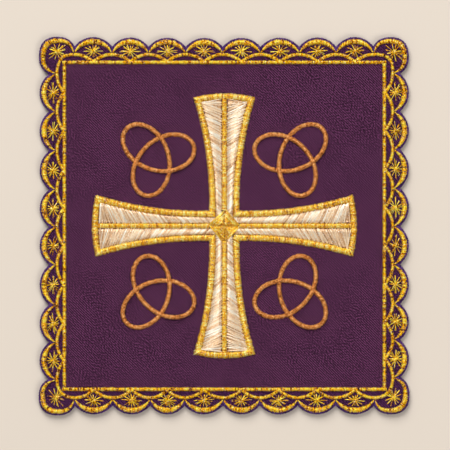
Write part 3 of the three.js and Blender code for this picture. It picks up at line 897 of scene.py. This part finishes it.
def cloth_sheet():
    outline = shifted(cloth_outline(), -EDGE_PROUD)
    count = len(outline)
    edge = []
    for inset, share in EDGE_SECTION:
        edge.append([(x, y, CLOTH_THICK * share) for x, y in shifted(outline, inset)])
    inner = shifted(outline, EDGE_SECTION[0][0])
    top = [[(x, y, CLOTH_THICK + cloth_wave(x, y)) for x, y in ring]
           for ring in rings_inwards(inner, BORDER_RINGS, FIELD_RINGS)]
    under = [[(x, y, 0) for x, y in ring]
             for ring in rings_inwards(inner, UNDER_BORDER_RINGS, UNDER_FIELD_RINGS)]
    rings = top[::-1] + edge + under
    vertices = [to_metres(*p) for ring in rings for p in ring]
    faces = []
    for i in range(len(rings) - 1):
        for j in range(count):
            k = (j + 1) % count
            faces.append((i * count + j, (i + 1) * count + j, (i + 1) * count + k, i * count + k))
    vertices += [to_metres(0, 0, CLOTH_THICK + cloth_wave(0, 0)), to_metres(0, 0, 0)]
    last = (len(rings) - 1) * count
    for j in range(count):
        k = (j + 1) % count
        faces.append((len(vertices) - 2, j, k))
        faces.append((len(vertices) - 1, last + k, last + j))
    mesh = bpy.data.meshes.new("cloth_sheet")
    mesh.from_pydata(vertices, [], faces)
    # Mask of the border, where the twill takes its painted shade.
    border = mesh.attributes.new("border", "FLOAT", "POINT")
    field = FIELD_RINGS * count
    in_border = [0 if i < field or i >= len(vertices) - 2 else 1 for i in range(len(vertices))]
    border.data.foreach_set("value", in_border)
    mesh.polygons.foreach_set("use_smooth", [True] * len(mesh.polygons))
    mesh.materials.append(violet_twill)
    mesh.update()
    return new_object("cloth_sheet", mesh)


def edge_overcast():
    """Violet stitches that wrap the scalloped edge, close together."""
    outline = shifted(cloth_outline(), -EDGE_PROUD)
    inner = shifted(outline, EDGE_REACH)
    points = [(x, y, EDGE_MIDDLE) for x, y in inner]
    halves = [(a[0] - b[0], a[1] - b[1]) for a, b in zip(outline, inner)]
    path = path_mesh("edge_path", points, halves, [(0, len(points), True)])
    sizes = thread_sizes(EDGE_PITCH, EDGE_THREAD, EDGE_RISE, fullness=3.4, steepest=10, unevenness=0.03,
                         turn=3, stray=0.06, grouping=0.5)
    tree = thread_tree("edge_wraps", violet_thread, wrapped_thread, along_path=True)
    return joined("edge_overcast", [stitched("edge_threads", path, tree, sizes)])


def star_piece():
    stitches = star_stitches()
    points = [(x, y, low - SEW_DEPTH) for (x, y), low, _ in stitches]
    path = path_mesh("star_points", points, [half for _, _, half in stitches], [])
    sizes = thread_sizes(0, STAR_THREAD, rise=0.5, fullness=2.4, steepest=1, unevenness=0.14, turn=7,
                         stray=0.12, grouping=0.2)
    tree = thread_tree("star_threads", gold, arched_thread, along_path=False)
    return joined("stars", [stitched("star_threads", path, tree, sizes)])


# Pieces and the nodes that each stands for
cloth = cloth_sheet()
overcast = edge_overcast()
stars = star_piece()
sewn = {
    "frame_and_small_arcs": satin("frame_and_small_arcs", frame_rows() + arc_rows(), gold, rise=0.72),
    "edge_crescents": satin("edge_crescents", crescent_rows(), gold, rise=0.85),
    "cross_outline_satin": satin("cross_outline_satin", cross_outline_rows(), pale_gold, rise=0.9,
                                 grouping=0.4),
    "cross_spines": satin("cross_spines", spine_rows(), pale_gold, rise=0.85, grouping=0.4),
    "cross_panels": satin("cross_panels", panel_rows(), silver, rise=0.7, fullness=5.0),
    "cross_lozenge_satin": satin("cross_lozenge_satin", lozenge_rows(), pale_gold, rise=1.05,
                                 fullness=5.0, grouping=0.3),
    "knot_cords": satin("knot_cords", knot_rows(), copper, rise=0.7),
}
stands_for = {
    "frame_and_small_arcs": ["frame_and_arcs"],
    "edge_crescents": ["outer_scallops"],
    "cross_outline_satin": ["cross_outline"],
    "cross_spines": [f"cross_spine_{i}" for i in range(1, 5)],
    "cross_panels": [f"cross_panel_{i}" for i in range(1, 9)],
    "cross_lozenge_satin": ["cross_lozenge"],
    "knot_cords": [f"knot_cord_{i}" for i in range(1, 5)],
}
for name, piece in sewn.items():
    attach(piece, "root")
    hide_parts(*stands_for[name])
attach(stars, "root")
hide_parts(*[f"star_{i:02d}" for i in range(1, 37)])
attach(cloth, "root")
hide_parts("pall_cloth")
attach(overcast, "root")

outline_area()


# Floor, light and camera

def floor():
    mesh = bpy.data.meshes.new("floor")
    corners = [(x * FLOOR_REACH, y * FLOOR_REACH, 0) for x, y in ((-1, -1), (1, -1), (1, 1), (-1, 1))]
    mesh.from_pydata(corners, [], [(0, 1, 2, 3)])
    made = new_object("floor", mesh)
    finish, _, shader = new_finish("pale_floor")
    shader.inputs["Base Color"].default_value = srgb(226, 216, 204)
    shader.inputs["Roughness"].default_value = 0.9
    mesh.materials.append(finish)


def soft_light(name, place, aim, size, power, colour):
    light = bpy.data.lights.new(name, "AREA")
    light.shape = "SQUARE"
    light.size = size
    light.energy = power
    light.color = colour
    made = new_object(name, light)
    made.location = place
    made.rotation_euler = (Vector(aim) - Vector(place)).to_track_quat("-Z", "Y").to_euler()


def room_light(strength, colour):
    world = bpy.data.worlds.new("room")
    world.use_nodes = True
    background = world.node_tree.nodes["Background"]
    background.inputs["Color"].default_value = colour
    background.inputs["Strength"].default_value = strength
    bpy.context.scene.world = world


def camera():
    data = bpy.data.cameras.new("camera")
    view_wide = FRAME_PIXELS * PIXEL * MM
    data.sensor_width = SENSOR
    data.lens = SENSOR * (CAMERA_HIGH - CLOTH_THICK * MM) / view_wide
    data.clip_start, data.clip_end = 0.05, 20
    made = new_object("camera", data)
    aside = FRAME_PIXELS / 2 - PALL_AT_PIXEL[0]
    above = PALL_AT_PIXEL[1] - FRAME_PIXELS / 2
    made.location = to_metres(aside * PIXEL, above * PIXEL, CAMERA_HIGH / MM)
    bpy.context.scene.camera = made


bpy.context.scene.view_settings.view_transform = "Standard"
floor()
room_light(0.34, (1.0, 0.97, 0.94, 1))
soft_light("window", (-0.55, 1.65, 1.55), (0, 0, 0), 1.5, 49.0, (1.0, 0.98, 0.95))
soft_light("lamp", (0.9, -0.9, 1.3), (0, 0, 0), 0.8, 9.0, (1.0, 0.97, 0.94))
camera()
